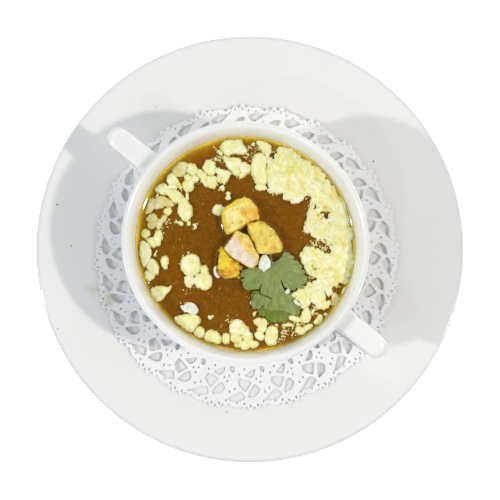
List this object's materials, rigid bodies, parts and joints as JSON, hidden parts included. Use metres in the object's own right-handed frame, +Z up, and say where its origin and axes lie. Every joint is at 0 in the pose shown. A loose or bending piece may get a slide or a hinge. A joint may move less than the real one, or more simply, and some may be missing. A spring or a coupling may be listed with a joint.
{
  "type": "bowl of chicken soup",
  "caption": "Two-handled white soup cup of chicken soup with curds, chicken cubes and a coriander leaf, on a paper lace doily and a flat plate.",
  "frame": {"origin": "middle of the plate's foot ring, on the surface it stands on", "axes": "+Z up; the line through the two handles of the cup runs along X"},
  "size_m": [0.2258, 0.2258, 0.0655],
  "materials": {
    "plate": "glossy white glaze",
    "cup": "glossy white glaze",
    "paper": "matt embossed paper lace",
    "soup": "wet, thick brown broth",
    "chicken": "moist cooked meat",
    "curd": "soft pale yellow curd",
    "leaf": "satin veined leaf",
    "leaf_young": "satin bright green leaf",
    "onion": "wet white petal"
  },
  "bodies": {
    "root": {"plate": "plate", "doily": "paper", "cup": "cup", "soup": "soup", "chicken_back": "chicken", "chicken_side": "chicken", "chicken_cut": "chicken", "chicken_front": "chicken", "curd_01": "curd", "curd_02": "curd", "curd_03": "curd", "curd_04": "curd", "curd_05": "curd", "curd_06": "curd", "curd_07": "curd", "curd_08": "curd", "curd_09": "curd", "curd_10": "curd", "curd_11": "curd", "curd_12": "curd", "curd_13": "curd", "curd_14": "curd", "curd_15": "curd", "curd_16": "curd", "curd_17": "curd", "curd_18": "curd", "curd_19": "curd", "curd_20": "curd", "curd_21": "curd", "curd_22": "curd", "curd_23": "curd", "curd_24": "curd", "curd_25": "curd", "curd_26": "curd", "curd_27": "curd", "curd_28": "curd", "curd_29": "curd", "curd_30": "curd", "curd_31": "curd", "curd_32": "curd", "curd_33": "curd", "curd_34": "curd", "curd_35": "curd", "curd_36": "curd", "curd_drift": "curd", "leaf": "leaf", "leaf_under": "leaf_young", "chip_1": "onion", "chip_2": "onion", "chip_3": "onion"}
  },
  "joints": []
}
